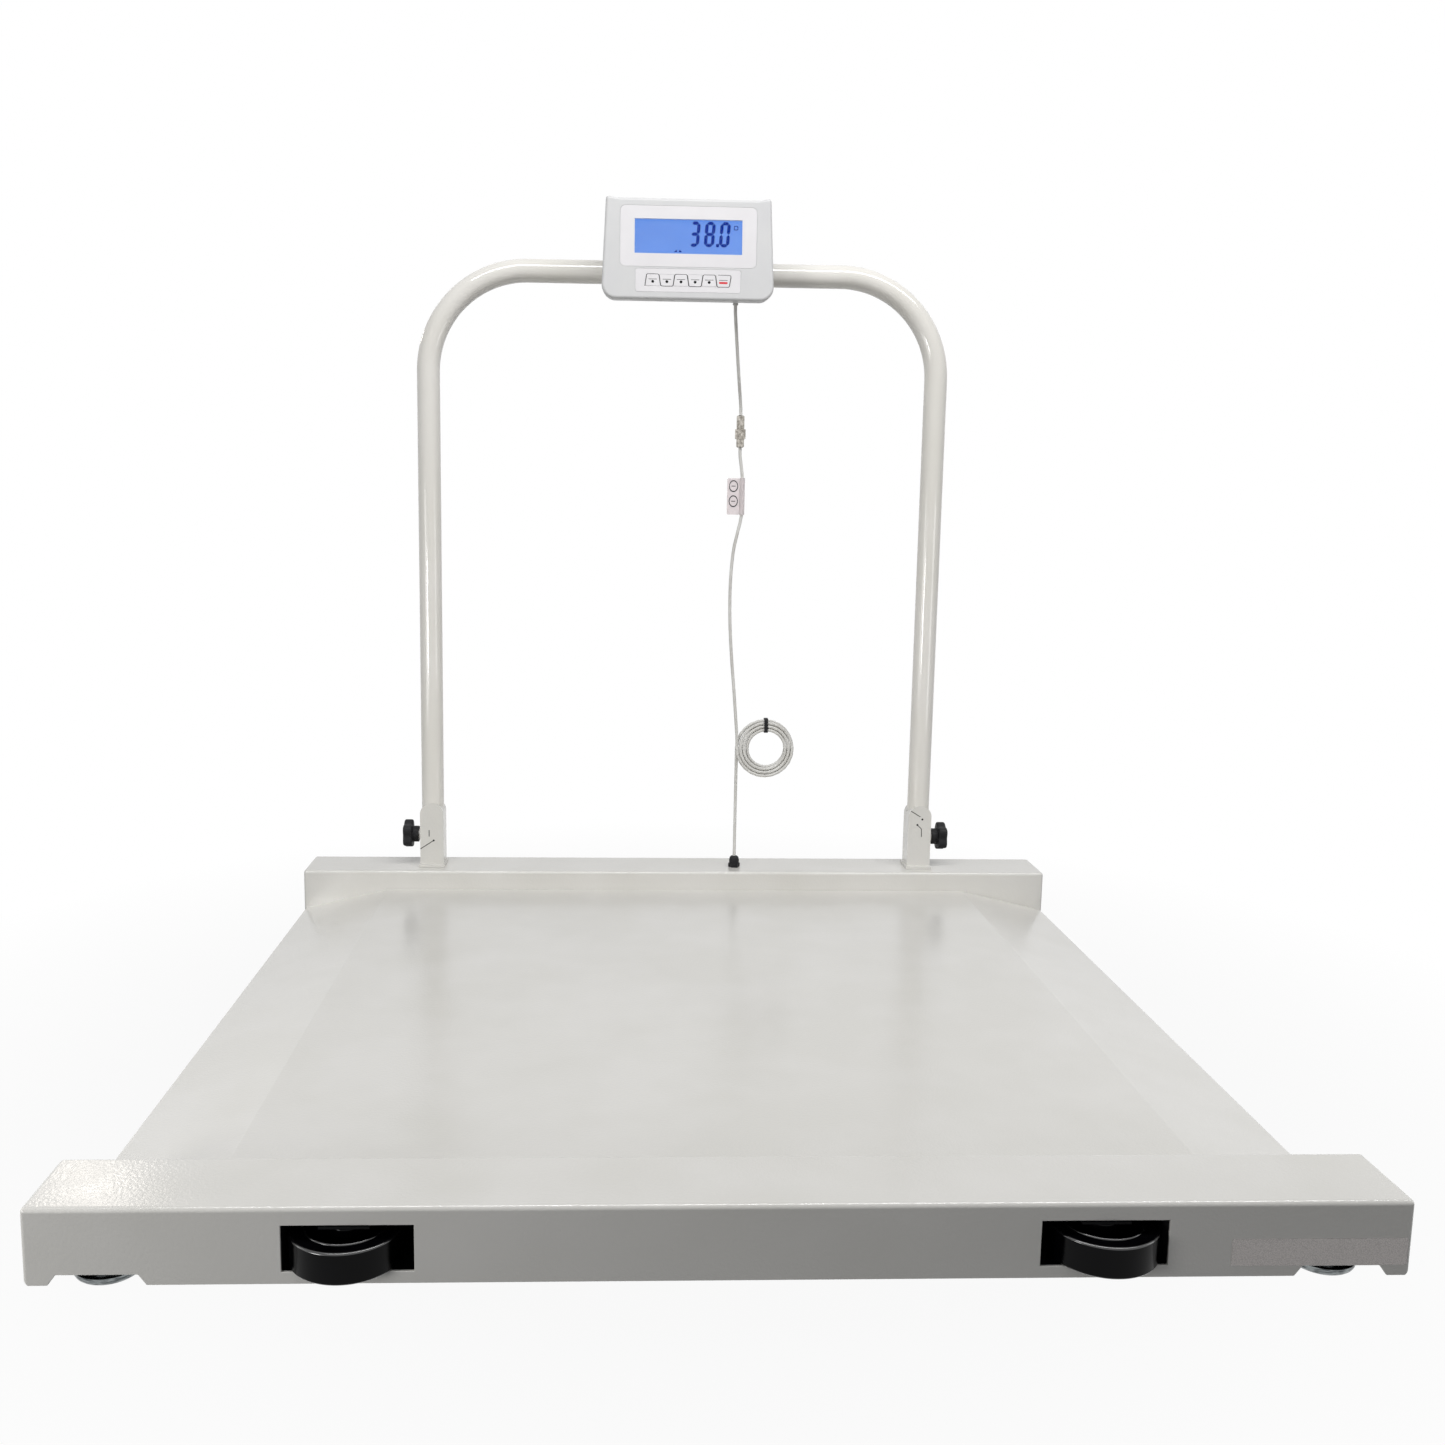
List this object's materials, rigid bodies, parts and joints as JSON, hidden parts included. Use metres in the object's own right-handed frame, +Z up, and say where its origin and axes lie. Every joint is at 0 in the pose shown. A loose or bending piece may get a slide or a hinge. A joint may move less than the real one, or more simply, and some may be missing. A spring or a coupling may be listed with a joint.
{
  "type": "wheelchair scale",
  "caption": "Low ramped platform scale for wheelchairs with a lift-out U handrail, a tilting indicator with push keys, transport wheels, screw feet and a hanging cable.",
  "frame": {"origin": "on the floor, under the middle of the whole object, wheels included", "axes": "+Z up, +X to the right of a person who faces the indicator, +Y away from that person, towards the rail that carries the handrail"},
  "size_m": [1.2, 1.168, 1.122],
  "materials": {
    "white_coat": "textured powder coat",
    "tube_coat": "satin powder coat",
    "zinc": "zinc plated",
    "cell_alloy": "satin",
    "black_wheel": "glossy",
    "black_nylon": "matte",
    "grey_case": "fine texture",
    "white_film": "satin film",
    "clear_glass": "clear",
    "blue_display": "lit from behind",
    "cable_grey": "satin",
    "nickel": "polished",
    "clear_film": "clear film",
    "black_tie": "matte"
  },
  "bodies": {
    "platform": {"front_rail": "white_coat", "rear_rail": "white_coat", "deck_plate": "white_coat", "cross_tube_left": "white_coat", "cross_tube_middle": "white_coat", "cross_tube_right": "white_coat", "junction_box": "zinc", "load_cell_front_left": "cell_alloy", "load_cell_front_right": "cell_alloy", "load_cell_rear_left": "cell_alloy", "load_cell_rear_right": "cell_alloy", "wheel_fork_left": "zinc", "wheel_fork_right": "zinc", "wheel_axle_left": "zinc", "wheel_axle_right": "zinc", "post_socket_left": "white_coat", "post_socket_right": "white_coat", "rail_gland": "black_nylon", "cable_tail": "cable_grey", "cable_coil": "cable_grey", "coil_tie": "black_tie", "cable_hanging": "cable_grey"},
    "handrail": {"handrail_tube": "tube_coat", "saddle_front": "black_nylon", "saddle_back": "black_nylon", "saddle_bolt_lower": "zinc", "saddle_bolt_upper": "zinc", "indicator_yoke": "zinc", "tilt_screw_left": "zinc", "tilt_screw_right": "zinc", "cable_upper": "cable_grey", "cable_connector": "nickel", "cable_tag": "clear_film"},
    "indicator": {"indicator_front": "grey_case", "indicator_back": "grey_case", "indicator_grommet": "black_nylon", "overlay_film": "white_film", "display_glass": "clear_glass", "display_module": "blue_display", "key_film": "white_film"},
    "key_1_body": {"key_1": "white_film"},
    "key_2_body": {"key_2": "white_film"},
    "key_3_body": {"key_3": "white_film"},
    "key_4_body": {"key_4": "white_film"},
    "key_5_body": {"key_5": "white_film"},
    "key_6_body": {"key_6": "white_film"},
    "wheel_left": {"transport_wheel_left": "black_wheel"},
    "wheel_right": {"transport_wheel_right": "black_wheel"},
    "screw_left": {"clamp_screw_left": "zinc"},
    "screw_right": {"clamp_screw_right": "zinc"},
    "knob_left": {"clamp_knob_left": "black_nylon"},
    "knob_right": {"clamp_knob_right": "black_nylon"},
    "pad_front_left": {"foot_pad_front_left": "zinc"},
    "pad_front_right": {"foot_pad_front_right": "zinc"},
    "pad_rear_left": {"foot_pad_rear_left": "zinc"},
    "pad_rear_right": {"foot_pad_rear_right": "zinc"},
    "stud_front_left": {"foot_stud_front_left": "zinc"},
    "stud_front_right": {"foot_stud_front_right": "zinc"},
    "stud_rear_left": {"foot_stud_rear_left": "zinc"},
    "stud_rear_right": {"foot_stud_rear_right": "zinc"}
  },
  "joints": [
    {"name": "handrail_lift", "type": "slide", "parent": "platform", "child": "handrail", "axis": [0, 0, 1], "range_m": [0, 0.09], "deforming": ["cable_hanging"]},
    {"name": "indicator_tilt", "type": "hinge", "parent": "handrail", "child": "indicator", "pos_m": [-0.001, 0.48595, 1.042], "axis": [-1, 0, 0], "range_deg": [-15, 30], "deforming": ["cable_upper"]},
    {"name": "key_1_press", "type": "slide", "parent": "indicator", "child": "key_1_body", "axis": [0, 0.9976, -0.0698], "range_m": [0, 0.0007], "stiffness_N_per_m": 800},
    {"name": "key_2_press", "type": "slide", "parent": "indicator", "child": "key_2_body", "axis": [0, 0.9976, -0.0698], "range_m": [0, 0.0007], "stiffness_N_per_m": 800},
    {"name": "key_3_press", "type": "slide", "parent": "indicator", "child": "key_3_body", "axis": [0, 0.9976, -0.0698], "range_m": [0, 0.0007], "stiffness_N_per_m": 800},
    {"name": "key_4_press", "type": "slide", "parent": "indicator", "child": "key_4_body", "axis": [0, 0.9976, -0.0698], "range_m": [0, 0.0007], "stiffness_N_per_m": 800},
    {"name": "key_5_press", "type": "slide", "parent": "indicator", "child": "key_5_body", "axis": [0, 0.9976, -0.0698], "range_m": [0, 0.0007], "stiffness_N_per_m": 800},
    {"name": "key_6_press", "type": "slide", "parent": "indicator", "child": "key_6_body", "axis": [0, 0.9976, -0.0698], "range_m": [0, 0.0007], "stiffness_N_per_m": 800},
    {"name": "wheel_left_spin", "type": "hinge", "parent": "platform", "child": "wheel_left", "pos_m": [-0.3323, -0.534, 0.0406], "axis": [0, 0, 1], "continuous": true},
    {"name": "wheel_right_spin", "type": "hinge", "parent": "platform", "child": "wheel_right", "pos_m": [0.3323, -0.534, 0.0406], "axis": [0, 0, 1], "continuous": true},
    {"name": "clamp_left_travel", "type": "slide", "parent": "platform", "child": "screw_left", "axis": [-1, 0, 0], "range_m": [0, 0.005]},
    {"name": "clamp_left_turn", "type": "hinge", "parent": "screw_left", "child": "knob_left", "pos_m": [-0.3985, 0.539, 0.1345], "axis": [-1, 0, 0], "range_deg": [-10, 1450]},
    {"name": "clamp_right_travel", "type": "slide", "parent": "platform", "child": "screw_right", "axis": [1, 0, 0], "range_m": [0, 0.005]},
    {"name": "clamp_right_turn", "type": "hinge", "parent": "screw_right", "child": "knob_right", "pos_m": [0.3985, 0.539, 0.1345], "axis": [1, 0, 0], "range_deg": [-10, 1450]},
    {"name": "foot_front_left_travel", "type": "slide", "parent": "platform", "child": "pad_front_left", "axis": [0, 0, 1], "range_m": [-0.012, 0]},
    {"name": "foot_front_left_turn", "type": "hinge", "parent": "pad_front_left", "child": "stud_front_left", "pos_m": [-0.545, -0.511, 0.03], "axis": [0, 0, 1], "range_deg": [-2480, 10]},
    {"name": "foot_front_right_travel", "type": "slide", "parent": "platform", "child": "pad_front_right", "axis": [0, 0, 1], "range_m": [-0.012, 0]},
    {"name": "foot_front_right_turn", "type": "hinge", "parent": "pad_front_right", "child": "stud_front_right", "pos_m": [0.545, -0.511, 0.03], "axis": [0, 0, 1], "range_deg": [-2480, 10]},
    {"name": "foot_rear_left_travel", "type": "slide", "parent": "platform", "child": "pad_rear_left", "axis": [0, 0, 1], "range_m": [-0.012, 0]},
    {"name": "foot_rear_left_turn", "type": "hinge", "parent": "pad_rear_left", "child": "stud_rear_left", "pos_m": [-0.545, 0.534, 0.03], "axis": [0, 0, 1], "range_deg": [-2480, 10]},
    {"name": "foot_rear_right_travel", "type": "slide", "parent": "platform", "child": "pad_rear_right", "axis": [0, 0, 1], "range_m": [-0.012, 0]},
    {"name": "foot_rear_right_turn", "type": "hinge", "parent": "pad_rear_right", "child": "stud_rear_right", "pos_m": [0.545, 0.534, 0.03], "axis": [0, 0, 1], "range_deg": [-2480, 10]}
  ],
  "couplings": [
    {"joint": "clamp_left_turn", "follows": "clamp_left_travel", "rad_per_m": 5026.5},
    {"joint": "clamp_right_turn", "follows": "clamp_right_travel", "rad_per_m": 5026.5},
    {"joint": "foot_front_left_turn", "follows": "foot_front_left_travel", "rad_per_m": 3590.4},
    {"joint": "foot_front_right_turn", "follows": "foot_front_right_travel", "rad_per_m": 3590.4},
    {"joint": "foot_rear_left_turn", "follows": "foot_rear_left_travel", "rad_per_m": 3590.4},
    {"joint": "foot_rear_right_turn", "follows": "foot_rear_right_travel", "rad_per_m": 3590.4}
  ]
}
